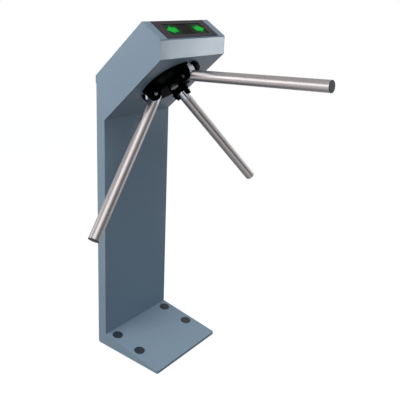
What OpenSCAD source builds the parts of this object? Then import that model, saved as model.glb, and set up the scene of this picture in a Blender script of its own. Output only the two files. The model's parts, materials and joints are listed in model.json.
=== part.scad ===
// Tripod turnstile: a slim sheet-steel stand, a leaning head and a three-arm rotor.
// Origin: centre of the anchor-hole pattern on the floor. +Z up, +X across the passage.

/* [Stand] */
// Height of the rear edge of the top
overall_height = 1050; // [950:1:1150]
// Width of the stand across the walking direction
stand_width = 287; // [270:1:330]
// Depth of the column, front to back
column_depth = 33; // [28:1:50]
// Distance from the column's front face to the foot's front edge
foot_reach = 227.5; // [200:0.5:280]
// Height of the foot where it meets the column
foot_rear_height = 41; // [34:1:60]
// Height of the foot at its front edge
foot_front_height = 8.4; // [8.2:0.1:14]
// Drop of the slanted back, from the rear edge of the top to the column
back_drop = 165; // [155:1:180]
// Drop of the top face, from its rear edge to the nose
top_drop = 42.7; // [38:0.1:48]
// Height of the nose's front face
nose_height = 52.6; // [48:0.1:60]
// Rise of the sloped underside, from the column to the nose
underside_rise = 197.4; // [190:0.1:205]
// Distance from the column's front face to the nose
nose_out = 213.7; // [208:0.1:222]
// Distance from the column's front face to the top's rear edge
top_rear_out = 145.5; // [138:0.1:152]
// Thickness of the folded sheet
sheet_t = 2; // [1.5:0.1:2.2]
// Radius of the foot's front corners
foot_corner_r = 5; // [2:0.5:12]
// Radius of the bottom rear edge
foot_back_r = 8; // [6:0.5:10]
// Width of the flanges that the lid rests on
lid_flange_w = 12; // [8:1:16]
// Width of the flange behind the nose
nose_flange_w = 5; // [3:0.5:5.5]

/* [Foot] */
// Distance between the anchor holes along X
anchor_spacing_x = 98; // [90:1:110]
// Distance from the foot's sides to the anchor holes
anchor_side_in = 27.5; // [25:0.5:60]
// Distance from the column's front face to the pattern's centre
anchor_out = 76.7; // [72:0.1:90]
// Diameter of the anchor holes
anchor_hole_d = 14; // [10:0.5:18]
// Thickness of the floor plate
floor_t = 6; // [4:0.1:6.1]
// Diameter of the access holes in the foot's skin
access_hole_d = 30; // [26:0.5:32]
// Diameter of the caps
cap_d = 34; // [33:0.5:38]
// Height of the caps above the skin
cap_rise = 1.8; // [1:0.1:3]
// Length of the caps' plugs
cap_plug = 8; // [5:0.5:10]
// Wall of the caps
cap_wall = 1.5; // [1:0.1:2]
// Bore of the cable grommet
cable_bore_d = 18; // [12:1:19]

/* [Lid] */
// Thickness of the lid's sheet
lid_t = 2; // [1.5:0.1:2.5]
// How far the rear lip stands proud of the column
lip_proud = 3; // [2.8:0.1:5]
// Height of the rear lip
lip_height = 23; // [15:1:35]

/* [Display] */
// Length of the bezel down the top face
bezel_len = 74.5; // [72:0.5:76]
// Distance from the lid's sides to the bezel
bezel_side_in = 31; // [25:1:40]
// Distance from the top's rear edge to the bezel
bezel_in = 3; // [2.5:0.1:3.5]
// Height of the bezel above the lid
bezel_rise = 1.5; // [1:0.1:3]
// Length of the window down the top face
window_len = 47.7; // [44:0.1:52]
// Distance from the bezel's ends to the window
window_end_in = 29.5; // [22:0.5:35]
// Distance from the top's rear edge to the window
window_in = 17.3; // [15:0.1:19]
// Thickness of the window
window_t = 2.5; // [2:0.1:3]
// Distance from the middle to the tail of an arrow
arrow_tail_out = 32.5; // [24:0.5:45]
// Distance from the window's ends to the tip of an arrow
arrow_tip_in = 0.5; // [0.5:0.5:10]
// Height of an arrow
arrow_h = 32; // [22:1:34]

/* [Rotor] */
// Distance along the sloped underside from its lower fold to the rotor's axis
hub_along = 174.4; // [170:0.1:180]
// Radius of the rotor disc
hub_r = 97; // [90:0.5:105]
// Running gap between the underside and the rotor disc
hub_gap = 0.8; // [0.5:0.1:1.5]
// Thickness of the rotor disc
hub_t = 7.2; // [6:0.1:9]
// Height of the boss above the disc
boss_rise = 6; // [4:0.5:10]
// Radius of the boss
boss_r = 29; // [24:0.5:32]
// Thickness of an ear
ear_t = 8; // [6:0.5:10]
// Radius of an ear's round end
ear_r = 15; // [13:0.5:18]
// Angle between the rotor's axis and each arm
arm_cone = 50.7; // [48:0.1:53]
// Turn of the arms from the home line
arm_phase = 1.6; // [0:0.1:4]
// Depth behind the underside where the arms' axes meet
apex_depth = 26.9; // [24:0.1:30]
// Distance from that point to an arm's tip
arm_tip = 534.4; // [450:0.1:620]
// Outer diameter of an arm
arm_d = 32; // [28:0.5:34]
// Wall of an arm's tube
arm_wall = 1.5; // [1:0.1:2.5]
// Length of the end cap that shows
arm_cap_len = 2; // [1.5:0.5:20]
// Length of the polished collar at the start of an arm
collar_len = 3; // [2:0.5:12]

/* [Mechanism] */
// Gear module
gear_module = 1.5; // [1.4:0.05:1.55]
// Face width of the gears
gear_face = 10; // [6:0.5:12]
// Radius of the lock disc
lock_disc_r = 56; // [54:0.5:57]
// Thickness of the lock disc and the pawls
lock_t = 6; // [4:0.5:6.5]
// Swing of a pawl from released to engaged, in degrees
pawl_swing = 9; // [8:0.5:10]
// Radius of the crank pin's circle
crank_r = 12; // [11.5:0.1:12.5]

/* [Hidden] */
$fn = 64;

// Colours
steel_blue = [0.47, 0.55, 0.62];
dark_blue = [0.16, 0.19, 0.23];
black = [0.03, 0.03, 0.035];
bare_steel = [0.62, 0.62, 0.64];
polished = [0.80, 0.80, 0.84];
brass_tone = [0.72, 0.58, 0.30];
copper_tone = [0.70, 0.38, 0.20];
board_green = [0.08, 0.28, 0.16];

// Shared clearances
overrun = 1;          // how far a cut runs past the face it opens
fit_gap = 0.03;       // radial gap of pieces pressed together
run_gap = 0.05;       // radial gap of a running fit
loose_gap = 0.3;      // gap of pieces that only sit beside each other

// Heights of the stand's profile
nose_top_height = overall_height - top_drop;
nose_bottom_height = nose_top_height - nose_height;
slope_foot_height = nose_bottom_height - underside_rise;
lid_back_height = overall_height - back_drop;

// Places of the stand's profile
column_front_x = -anchor_out;
back_x = column_front_x - column_depth;
foot_front_x = column_front_x + foot_reach;
nose_x = column_front_x + nose_out;
top_rear_x = column_front_x + top_rear_out;
lip_x = back_x - lip_proud;
inner_w = stand_width - 2 * sheet_t;
anchor_spacing_y = stand_width - 2 * anchor_side_in;
bezel_w = stand_width - 2 * bezel_side_in;
window_w = bezel_w - 2 * window_end_in;
arrow_len = window_w / 2 - arrow_tip_in - arrow_tail_out;
arrow_out = arrow_tail_out + arrow_len / 2;

// Angles of the faces
slope = atan((nose_bottom_height - slope_foot_height) / nose_out);
top_tilt = atan((overall_height - nose_top_height) / (nose_x - top_rear_x));
back_slope = atan((overall_height - lid_back_height) / (top_rear_x - lip_x));
foot_slope = atan((foot_rear_height - foot_front_height) / foot_reach);

// Centre of the rotor disc's rear plane on the sloped underside
hub_x = column_front_x + hub_along * cos(slope);
hub_z = slope_foot_height + hub_along * sin(slope);

// Levels along the rotor's axis, measured outwards from the underside
plate_t = 6;
plate_front = -sheet_t;
plate_rear = plate_front - plate_t;
flange_t = 8;
flange_rear = plate_rear - flange_t;
bearing_w = 15;
front_bearing_front = -7;
front_bearing_rear = front_bearing_front - bearing_w;
bearing_gap = 17;
rear_bearing_front = front_bearing_rear - bearing_gap;
rear_bearing_rear = rear_bearing_front - bearing_w;
housing_lip = 2;
housing_rear = rear_bearing_rear - housing_lip;
disc_standoff = 4;
lock_front = rear_bearing_rear - disc_standoff;
lock_rear = lock_front - lock_t;
gear_standoff = 4;
gear_front = lock_rear - gear_standoff;
gear_rear = gear_front - gear_face;
encoder_standoff = 5;
encoder_t = 1;
encoder_front = gear_rear - encoder_standoff;
encoder_rear = encoder_front - encoder_t;
nut_t = 8;
nut_rear = encoder_rear - nut_t;
shaft_tail = 3;
shaft_rear = nut_rear - shaft_tail;
seat_gap = 0.3;       // axial gap where a turning piece sits on a fixed shoulder

// Bearings and shaft
shaft_r = 12.5;
shoulder_r = 16;
ring_inner_land = 16.8;
ring_outer_land = 21.8;
bearing_r = 26;
ball_r = 3.95;
ball_pitch_r = (ring_inner_land + ring_outer_land) / 2;
ball_gap = 0.1;
ball_count = 9;
housing_r = 34;
housing_flange_r = 47;
housing_bore_r = 22;
housing_screw_pitch_r = 40;
housing_screw_r = 2.5;
housing_screw_head_r = 4.5;
housing_screw_head_h = 5;
boss_top = hub_gap + hub_t + boss_rise;
hub_spigot_r = 10;
hub_bolt_r = 5;
hub_bolt_depth = 25;
washer_t = 3;
washer_r = 17;
bolt_head_r = 13;
bolt_head_h = 8;
shaft_nut_r = 21;
underside_hole_r = 40;

// Mechanism plate
plate_low = 110;
plate_high = 100;
plate_side_gap = 13.5;
plate_half_w = inner_w / 2 - plate_side_gap;
stud_r = 3;
stud_in = 9;
stud_len = 16;
plate_nut_r = 6;
plate_nut_h = 5;

// Gears
main_teeth = 72;
homing_teeth = 24;
damper_teeth = 18;
pressure_angle = 20;
tooth_slack_share = 0.06;
homing_centre = gear_module * (main_teeth + homing_teeth) / 2;
damper_centre = gear_module * (main_teeth + damper_teeth) / 2;

// Lock disc and pawls
notch_count = 12;
notch_depth = 8;
notch_mouth_w = 9.4;
notch_floor_w = 7.4;
pawl_reach = 45;
pawl_pivot_y = lock_disc_r - 2.5;
tooth_tip_y = lock_disc_r - 5.5;
tooth_base_y = lock_disc_r + 2.5;
tooth_tip_w = 4.6;
tooth_base_w = 6.6;
pawl_top_y = lock_disc_r + 12;
pawl_boss_r = 9;
pawl_waist = 5;
pivot_r = 4;
pivot_shoulder_r = 7;
pivot_tail = 2;
clip_t = 1.5;
tail_reach = 26;
tail_r = 6.5;
link_r = 3;
slot_half = 0.6;
slot_gap = 0.12;

// Plunger and solenoid
fork_half_w = 6;
fork_t = 2.7;
fork_web_near = 10;
fork_web_far = 16;
plunger_r = 5;
plunger_len = 44;
coil_start = 24;
coil_len = 42;
coil_end = coil_start + coil_len;
coil_r = 12.5;
yoke_half = 14;
yoke_t = 3;
bracket_t = 3;
foot_rear = plate_rear - bracket_t;
bracket_half_w = 16;
bracket_foot_len = 24;

// Screws of the damper and the brackets
unit_screw_r = 2;
unit_screw_head_r = 3.5;
unit_screw_head_h = 2.8;
unit_screw_short = 0.5;

// Homing crank
homing_shoulder_r = 8;
homing_journal_r = 5;
homing_clip_r = 8;
crank_pin_r = 3;
crank_pin_len = 14;
post_y = 105;
post_r = 5;
post_tip_r = 3;
spring_level = gear_rear - 10;
spring_coil_r = 5;
spring_wire_r = 0.8;
spring_turns = 16;
spring_pitch = 3;
spring_eye_gap = 0.35;

// Damper
damper_r = 18;
damper_rear = -42;
damper_ear_out = 26;
damper_ear_r = 6;
damper_shaft_r = 4;
damper_shaft_in = 10;
damper_hole_end = damper_rear + damper_shaft_in + 2 * overrun;

// Sensors
sensor_pitch_r = 66;
sensor_post_r = 4;
encoder_r = 44;
encoder_slots = 12;
encoder_slot_w = 5;
encoder_slot_len = 8;
fork_body = 10;
fork_jaw_t = 2;
fork_slot_front = encoder_front + 2;
fork_slot_rear = encoder_rear - 2;
fork_reach_r = 38;

// Control board
board_len = 126;
board_high = 66;
board_t = 1.6;
board_x = -35;
board_z = -66;
board_off = 11;
standoff_r = 3.5;
standoff_in = 6;
chip_h = 3;
relay_len = 19;
relay_w = 15;
relay_h = 11;
terminal_h = 9;
terminal_w = 8;

// Arm roots
clevis_gap = 15.2;
ear_face = clevis_gap + ear_t;
ear_inner_r = 34;
ear_outer_r = 95;
bolt_out = 69;
bolt_up = 28;
bolt_along = bolt_out * sin(arm_cone) + (bolt_up + apex_depth) * cos(arm_cone);
cross_bolt_r = 5;
cross_hole_gap = 0.2;
cross_head_r = 5.5;
cross_head_h = 3;
cross_nut_r = 8.5;
cross_nut_h = 5;
cross_tail = 2;
slot_in_r = 84.5;
root_r = clevis_gap - loose_gap;
root_tail = 12;
root_start = bolt_along - root_tail;
collar_gap = 0.8;
collar_start = bolt_along + ear_r + collar_gap;
heel_half = 11;
heel_inner_r = 72;
heel_outer_r = 90.4;
heel_low = 1.6;
heel_shoulder = 22;
heel_sink = 8;
root_chamfer = 1.5;
root_spigot_len = 50;
spigot_gap = 0.3;
spigot_r = arm_d / 2 - arm_wall - spigot_gap;
arm_cap_spigot = 20;
hub_chamfer = 2.5;
boss_taper = 3;
cap_edge = 1.2;

// Lock of the lid
lock_up = 48;
lock_body_r = 9.4;
lock_flange_r = 12;
lock_flange_t = 2;
lock_body_len = 12;
lock_plug_r = 6;
key_slot_w = 1.6;
key_slot_len = 7;
key_slot_depth = 5;
ring_nut_r = 14;
ring_nut_t = 5;
cam_t = 2.5;
cam_len = 34;
cam_half_w = 6;
keeper_near = 4;
keeper_far = 26;
keeper_half_w = 30;
keeper_depth = 9;
keeper_t = 2;

// Display unit
bezel_hole_gap = 0.3;
bezel_wall_in = 3;
bezel_depth = 6;
window_ledge = 4;
window_sink = 1.2;
window_face = bezel_rise - window_sink;
display_board_t = 1.6;
display_board_margin = 5;
display_screw_out = 10;
display_screw_r = 1.25;
display_screw_tip = -1.5;
display_screw_head_r = 2.5;
display_screw_head_h = 1.5;
arrow_gap = 0.1;
arrow_shaft_share = 0.58;
arrow_head_share = 0.5;
stop_size = 24;
stop_bar = 6;
light_proud = 0.1;

// Cable grommet
cable_out = 14;
grommet_wall = 2.8;
grommet_flange = 3;
grommet_flange_t = 2;
grommet_sink = 0.5;

// Lines and outlines
function unit2(v) = v / norm(v);
function left_of(a, b) = let (u = unit2(b - a)) [-u[1], u[0]];
function cross2(a, b) = a[0] * b[1] - a[1] * b[0];
function meet(p, u, q, v) = p + u * (cross2(q - p, v) / cross2(u, v));
function inset(pts, d) = let (n = len(pts)) [
  for (i = [0:n - 1])
    let (a = pts[(i + n - 1) % n], b = pts[i], c = pts[(i + 1) % n])
      meet(b + d * left_of(a, b), b - a, b + d * left_of(b, c), c - b)
];

// Outer line of the lid from its front edge to the start of its rear lip
lid_front = [nose_x, nose_top_height];
lid_ridge = [top_rear_x, overall_height];
lid_bend = [lip_x, lid_back_height];
lid_lip_end = [lip_x, lid_back_height - lip_height];

// The same line at a depth below the lid's outer face
function lid_front_at(d) = meet(lid_front + d * left_of(lid_front, lid_ridge), lid_ridge - lid_front,
                                lid_front, [0, 1]);
function lid_ridge_at(d) = meet(lid_ridge + d * left_of(lid_front, lid_ridge), lid_ridge - lid_front,
                                lid_ridge + d * left_of(lid_ridge, lid_bend), lid_bend - lid_ridge);
function lid_slant_at(d, x) = meet(lid_ridge + d * left_of(lid_ridge, lid_bend), lid_bend - lid_ridge,
                                   [x, 0], [0, 1]);

stand_outline = [
  [back_x, 0], [foot_front_x, 0], [foot_front_x, foot_front_height],
  [column_front_x, foot_rear_height], [column_front_x, slope_foot_height],
  [nose_x, nose_bottom_height], lid_front_at(lid_t), lid_ridge_at(lid_t), lid_slant_at(lid_t, back_x)
];

// Placing
module across(w) rotate([90, 0, 0]) linear_extrude(height = w, center = true) children();
module in_hub() translate([hub_x, 0, hub_z]) rotate([0, 180 - slope, 0]) rotate([0, 0, 180]) children();
module on_top() translate([top_rear_x, 0, overall_height]) rotate([0, top_tilt, 0]) children();
module on_back() translate([lip_x, 0, lid_back_height]) rotate([0, -back_slope, 0]) children();
module on_foot() translate([column_front_x, 0, foot_rear_height]) rotate([0, foot_slope, 0]) children();
module at_arm(k) in_hub() rotate([0, 0, arm_phase + 120 * k]) children();
module on_arm(k) at_arm(k) translate([0, 0, -apex_depth]) rotate([0, arm_cone, 0]) children();
module at_anchors()
  for (sx = [-1, 1], sy = [-1, 1])
    translate([sx * anchor_spacing_x / 2, sy * anchor_spacing_y / 2, 0]) children();
module at_foot_holes()
  on_foot()
    for (sx = [-1, 1], sy = [-1, 1])
      translate([(anchor_out + sx * anchor_spacing_x / 2) / cos(foot_slope), sy * anchor_spacing_y / 2, 0])
        children();
module both_sides() for (m = [0, 1]) mirror([0, m, 0]) children();

// A cylinder between two levels
module rod(r, low, high) translate([0, 0, low]) cylinder(r = r, h = high - low);
module hex_rod(r, low, high) translate([0, 0, low]) cylinder(r = r, h = high - low, $fn = 6);
module tube_ring(r_out, r_in, low, high)
  difference() {
    rod(r_out, low, high);
    rod(r_in, low - overrun, high + overrun);
  }
module block(x0, x1, y0, y1, z0, z1) translate([x0, y0, z0]) cube([x1 - x0, y1 - y0, z1 - z0]);

// Involute gear outline
function inv_point(rb, t) = let (deg = t * 180 / PI) rb * [cos(deg) + t * sin(deg), sin(deg) - t * cos(deg)];
function turn2(p, a) = [p[0] * cos(a) - p[1] * sin(a), p[0] * sin(a) + p[1] * cos(a)];
function roll_at(rb, r) = sqrt(max(0, pow(r / rb, 2) - 1));
function gear_outline(teeth, flank_steps = 4) =
  let (
    pitch_r = gear_module * teeth / 2,
    base_r = pitch_r * cos(pressure_angle),
    tip_r = pitch_r + 0.95 * gear_module,
    root_r = pitch_r - 1.25 * gear_module,
    start_roll = roll_at(base_r, max(base_r, root_r)),
    end_roll = roll_at(base_r, tip_r),
    pitch_roll = roll_at(base_r, pitch_r),
    pitch_inv = pitch_roll * 180 / PI - atan(pitch_roll),
    half_tooth = 90 / teeth * (1 - tooth_slack_share) + pitch_inv,
    low_r = min(root_r, base_r)
  ) [
    for (k = [0:teeth - 1])
      let (mid = 360 * k / teeth)
        for (p = concat(
          [turn2([low_r, 0], mid - half_tooth)],
          [for (i = [0:flank_steps])
             let (q = inv_point(base_r, start_roll + (end_roll - start_roll) * i / flank_steps))
               turn2(q, mid - half_tooth)],
          [for (i = [flank_steps:-1:0])
             let (q = inv_point(base_r, start_roll + (end_roll - start_roll) * i / flank_steps))
               turn2([q[0], -q[1]], mid + half_tooth)],
          [turn2([low_r, 0], mid + half_tooth)]
        )) p
  ];
module gear_body(teeth, turn)
  translate([0, 0, gear_rear]) linear_extrude(height = gear_face) rotate(turn) polygon(gear_outline(teeth));

// Sweep of a round wire along a path
function unit3(v) = v / norm(v);
function tangents(p) = let (n = len(p)) [
  for (i = [0:n - 1]) unit3(p[min(i + 1, n - 1)] - p[max(i - 1, 0)])
];
function square_to(v, t) = unit3(v - t * (v * t));
function normals(t, start) = [
  for (i = 0, n = square_to(start, t[0]); i < len(t); i = i + 1, n = i < len(t) ? square_to(n, t[i]) : n) n
];
module swept_wire(path, r, sides, start) {
  t = tangents(path);
  n = normals(t, start);
  last = len(path) - 1;
  points = [
    for (i = [0:last], k = [0:sides - 1])
      path[i] + r * (n[i] * cos(360 * k / sides) + cross(t[i], n[i]) * sin(360 * k / sides))
  ];
  sides_faces = [
    for (i = [0:last - 1], k = [0:sides - 1])
      let (a = i * sides + k, b = i * sides + (k + 1) % sides)
        each [[a, a + sides, b], [b, a + sides, b + sides]]
  ];
  caps = [
    [for (k = [0:sides - 1]) k],
    [for (k = [sides - 1:-1:0]) last * sides + k]
  ];
  polyhedron(points = points, faces = concat(sides_faces, caps), convexity = 10);
}

// Stand
module lid_opening() {
  rear_start = keeper_far;
  slant_dir = unit2(lid_ridge - lid_bend);
  top_dir = unit2(lid_ridge - lid_front);
  low = lid_t + sheet_t + overrun;
  rear_out = lid_slant_at(0, back_x) + slant_dir * rear_start;
  rear_in = lid_slant_at(low, back_x) + slant_dir * rear_start;
  front_out = lid_front_at(0) + top_dir * nose_flange_w;
  front_in = lid_front_at(low) + top_dir * nose_flange_w;
  across(inner_w - 2 * lid_flange_w)
    polygon([rear_in, front_in, front_out, lid_ridge_at(-overrun), rear_out]);
}
module stand_cavity() {
  difference() {
    across(inner_w) polygon(inset(stand_outline, sheet_t));
    block(back_x, back_x + foot_back_r, -stand_width, stand_width, 0, foot_back_r);
  }
  block(back_x + foot_back_r, foot_front_x - sheet_t, -inner_w / 2, inner_w / 2, -overrun, floor_t);
}
module foot_footprint()
  linear_extrude(height = overall_height)
    difference() {
      translate([back_x, -stand_width / 2]) square([foot_front_x - back_x, stand_width]);
      for (s = [-1, 1])
        translate([foot_front_x, s * stand_width / 2])
          difference() {
            square(2 * foot_corner_r, center = true);
            translate([-foot_corner_r, -s * foot_corner_r]) circle(r = foot_corner_r);
          }
    }
module stand_frame() color(steel_blue) {
  difference() {
    intersection() {
      across(stand_width) polygon(stand_outline);
      foot_footprint();
    }
    stand_cavity();
    lid_opening();
    translate([back_x, 0, 0])
      difference() {
        cube([2 * foot_back_r, stand_width + 2 * overrun, 2 * foot_back_r], center = true);
        translate([foot_back_r, 0, foot_back_r])
          rotate([90, 0, 0]) cylinder(r = foot_back_r, h = stand_width + 4 * overrun, center = true);
      }
    in_hub() rod(underside_hole_r, -sheet_t - overrun, overrun);
    at_foot_holes() rod(access_hole_d / 2, -sheet_t - overrun, overrun);
  }
  in_hub() at_studs() rod(stud_r, plate_front - stud_len, -sheet_t / 2);
  on_back() {
    block(keeper_near, keeper_far, -keeper_half_w, keeper_half_w,
          -lid_t - keeper_depth, -lid_t - keeper_depth + keeper_t);
    block(keeper_near, keeper_near + keeper_t, -keeper_half_w, keeper_half_w,
          -lid_t - keeper_depth, -lid_t - sheet_t / 2);
  }
}
module at_studs()
  for (x = [-plate_low + stud_in, plate_high - stud_in], s = [-1, 1])
    translate([x, s * (plate_half_w - stud_in), 0]) children();

module floor_plate() color(bare_steel)
  difference() {
    block(back_x + foot_back_r, foot_front_x - sheet_t, -inner_w / 2, inner_w / 2, 0, floor_t);
    at_anchors() rod(anchor_hole_d / 2, -overrun, floor_t + overrun);
    translate([column_front_x + cable_out, 0, 0])
      rod(cable_bore_d / 2 + grommet_wall, -overrun, floor_t + overrun);
  }
module cable_grommet() color(black)
  translate([column_front_x + cable_out, 0, 0])
    difference() {
      union() {
        rod(cable_bore_d / 2 + grommet_wall - fit_gap, grommet_sink, floor_t + grommet_flange_t);
        rod(cable_bore_d / 2 + grommet_wall + grommet_flange, floor_t, floor_t + grommet_flange_t);
      }
      rod(cable_bore_d / 2, -overrun, floor_t + grommet_flange_t + overrun);
    }
module anchor_caps() color(dark_blue)
  at_foot_holes()
    difference() {
      union() {
        rotate_extrude()
          polygon([[0, 0], [cap_d / 2, 0], [cap_d / 2, cap_rise - cap_edge],
                   [cap_d / 2 - cap_edge, cap_rise], [0, cap_rise]]);
        rod(access_hole_d / 2 - loose_gap, -cap_plug, overrun / 2);
      }
      rod(access_hole_d / 2 - loose_gap - cap_wall, -cap_plug - overrun, 0);
    }

// Mechanism carried by the sloped underside
module mechanism_plate() color(bare_steel)
  in_hub()
    difference() {
      block(-plate_low, plate_high, -plate_half_w, plate_half_w, plate_rear, plate_front);
      rod(housing_r + loose_gap, plate_rear - overrun, plate_front + overrun);
      at_studs() rod(stud_r + loose_gap, plate_rear - overrun, plate_front + overrun);
      at_housing_screws() rod(housing_screw_r + fit_gap, plate_rear - overrun, plate_front + overrun);
      at_unit_screws() unit_hole();
    }
module plate_nuts() color(polished)
  in_hub() at_studs()
    difference() {
      hex_rod(plate_nut_r, plate_rear - plate_nut_h, plate_rear);
      rod(stud_r + fit_gap, plate_rear - plate_nut_h - overrun, plate_rear + overrun);
    }
module at_housing_screws()
  for (a = [45:90:315]) rotate([0, 0, a]) translate([housing_screw_pitch_r, 0, 0]) children();
module bearing_housing() color(bare_steel)
  in_hub()
    difference() {
      union() {
        rod(housing_flange_r, flange_rear, plate_rear);
        rod(housing_r, housing_rear, plate_front - housing_lip / 4);
      }
      rod(housing_bore_r, housing_rear - overrun, overrun);
      rod(bearing_r + fit_gap, front_bearing_rear, overrun);
      rod(bearing_r + fit_gap, housing_rear - overrun, rear_bearing_front);
      at_housing_screws() rod(housing_screw_r + loose_gap, flange_rear - overrun, plate_rear + overrun);
    }
module housing_screws() color(polished)
  in_hub() at_housing_screws() {
    rod(housing_screw_head_r, flange_rear - housing_screw_head_h, flange_rear);
    rod(housing_screw_r, flange_rear - housing_screw_head_h / 2, plate_front - housing_lip / 4);
  }

// Bearings
module at_bearings()
  for (level = [front_bearing_rear, rear_bearing_rear]) translate([0, 0, level]) children();
module race_groove()
  translate([0, 0, bearing_w / 2])
    rotate_extrude() translate([ball_pitch_r, 0]) circle(r = ball_r + ball_gap);
module bearing_outer_rings() color(polished)
  in_hub() at_bearings()
    difference() {
      tube_ring(bearing_r, ring_outer_land, 0, bearing_w);
      race_groove();
    }
module bearing_inner_rings() color(polished)
  in_hub() at_bearings()
    difference() {
      tube_ring(ring_inner_land, shaft_r + fit_gap, 0, bearing_w);
      race_groove();
    }
module bearing_balls() color(polished)
  in_hub() at_bearings()
    for (k = [0:ball_count - 1])
      rotate([0, 0, 360 * k / ball_count]) translate([ball_pitch_r, 0, bearing_w / 2]) sphere(r = ball_r);

// Rotor
module rotor_shaft() color(bare_steel)
  in_hub()
    difference() {
      union() {
        rod(shaft_r, shaft_rear, front_bearing_front + overrun);
        rod(shoulder_r, front_bearing_front, hub_gap);
        rod(hub_spigot_r, 0, boss_top - 2 * loose_gap);
      }
      rod(hub_bolt_r + fit_gap, boss_top - hub_bolt_depth, boss_top + overrun);
    }
module shaft_spacers() color(polished)
  in_hub() {
    tube_ring(shoulder_r - loose_gap, shaft_r + fit_gap, rear_bearing_front, front_bearing_rear);
    tube_ring(shoulder_r, shaft_r + fit_gap, lock_front, rear_bearing_rear);
    tube_ring(shoulder_r, shaft_r + fit_gap, gear_front, lock_rear);
    tube_ring(shoulder_r, shaft_r + fit_gap, encoder_front, gear_rear);
  }
module lock_disc() color(bare_steel)
  in_hub()
    difference() {
      tube_ring(lock_disc_r, shaft_r + fit_gap, lock_rear, lock_front);
      for (k = [0:notch_count - 1])
        rotate([0, 0, 360 * k / notch_count])
          translate([0, 0, lock_rear - overrun])
            linear_extrude(height = lock_t + 2 * overrun)
              polygon([
                [lock_disc_r - notch_depth, -notch_floor_w / 2],
                [lock_disc_r + overrun, -notch_mouth_w / 2],
                [lock_disc_r + overrun, notch_mouth_w / 2],
                [lock_disc_r - notch_depth, notch_floor_w / 2]
              ]);
    }
module main_gear() color(bare_steel)
  in_hub()
    difference() {
      gear_body(main_teeth, 0);
      rod(shaft_r + fit_gap, gear_rear - overrun, gear_front + overrun);
    }
module encoder_disc() color(black)
  in_hub()
    difference() {
      tube_ring(encoder_r, shaft_r + fit_gap, encoder_rear, encoder_front);
      for (k = [0:encoder_slots - 1])
        rotate([0, 0, 360 * (k + 0.5) / encoder_slots])
          block(encoder_r - encoder_slot_len, encoder_r + overrun, -encoder_slot_w / 2, encoder_slot_w / 2,
                encoder_rear - overrun, encoder_front + overrun);
    }
module shaft_nut() color(polished)
  in_hub()
    difference() {
      hex_rod(shaft_nut_r, nut_rear, encoder_rear);
      rod(shaft_r + fit_gap, nut_rear - overrun, encoder_rear + overrun);
    }
module hub_washer() color(bare_steel)
  in_hub() tube_ring(washer_r, hub_bolt_r + loose_gap, boss_top, boss_top + washer_t);
module hub_bolt() color(bare_steel)
  in_hub() {
    hex_rod(bolt_head_r, boss_top + washer_t, boss_top + washer_t + bolt_head_h);
    rod(hub_bolt_r, boss_top - hub_bolt_depth + 2 * overrun, boss_top + washer_t + overrun);
  }

module ear_plate() {
  face = hub_gap + hub_t;
  polygon([
    [ear_inner_r, face - overrun], [ear_outer_r, face - overrun],
    [bolt_out + ear_r * cos(20), bolt_up + ear_r * sin(20)],
    [bolt_out - ear_r * sin(30), bolt_up + ear_r * cos(30)]
  ]);
  translate([bolt_out, bolt_up]) circle(r = ear_r);
}
module rotor_hub() color(black)
  difference() {
    union() {
      in_hub() rotate_extrude()
        polygon([
          [0, hub_gap], [hub_r, hub_gap], [hub_r, hub_gap + hub_t - hub_chamfer],
          [hub_r - hub_chamfer, hub_gap + hub_t], [boss_r + boss_taper, hub_gap + hub_t],
          [boss_r, boss_top], [0, boss_top]
        ]);
      for (k = [0:2], s = [-1, 1])
        at_arm(k) translate([0, s * (clevis_gap + ear_t / 2), 0]) across(ear_t) ear_plate();
    }
    in_hub() rod(hub_spigot_r + fit_gap, -overrun, boss_top + overrun);
    for (k = [0:2]) at_arm(k) {
      block(slot_in_r, hub_r + overrun, -heel_half - loose_gap, heel_half + loose_gap,
            0, hub_gap + hub_t + overrun);
      translate([bolt_out, 0, bolt_up])
        across(4 * ear_face) circle(r = cross_bolt_r + cross_hole_gap);
    }
  }

// Arms
function arm_axis_at(s) = [s * sin(arm_cone), s * cos(arm_cone) - apex_depth];
module heel_plate() {
  face = hub_gap + hub_t;
  polygon([
    [heel_inner_r, face], [slot_in_r, face], [slot_in_r, heel_low], [heel_outer_r, heel_low],
    [heel_outer_r, heel_shoulder], arm_axis_at(collar_start), arm_axis_at(root_start + heel_sink)
  ]);
}
module arm_roots() color(polished)
  for (k = [0:2]) difference() {
    union() {
      at_arm(k) across(2 * heel_half) heel_plate();
      on_arm(k) {
        translate([0, 0, root_start]) cylinder(r1 = root_r - root_chamfer, r2 = root_r, h = root_chamfer);
        rod(root_r, root_start + root_chamfer, collar_start + overrun);
        rod(arm_d / 2, collar_start, collar_start + collar_len);
        rod(spigot_r, collar_start, collar_start + collar_len + root_spigot_len);
      }
    }
    at_arm(k) translate([bolt_out, 0, bolt_up])
      across(4 * root_r) circle(r = cross_bolt_r + cross_hole_gap);
  }
module cross_frame(k) at_arm(k) translate([bolt_out, 0, bolt_up]) rotate([-90, 0, 0]) children();
module arm_bolts() color(polished)
  for (k = [0:2]) cross_frame(k) {
    rod(cross_bolt_r, -ear_face - cross_nut_h - cross_tail, ear_face + cross_head_h / 2);
    rod(cross_head_r, ear_face, ear_face + cross_head_h);
  }
module arm_nuts() color(polished)
  for (k = [0:2]) cross_frame(k) difference() {
    hex_rod(cross_nut_r, -ear_face - cross_nut_h, -ear_face);
    rod(cross_bolt_r + fit_gap, -ear_face - cross_nut_h - overrun, -ear_face + overrun);
  }
module arm_tube(k) color(bare_steel)
  on_arm(k) tube_ring(arm_d / 2, arm_d / 2 - arm_wall, collar_start + collar_len, arm_tip - arm_cap_len);
module arm_tube_1() arm_tube(0);
module arm_tube_2() arm_tube(2);
module arm_tube_3() arm_tube(1);
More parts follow.
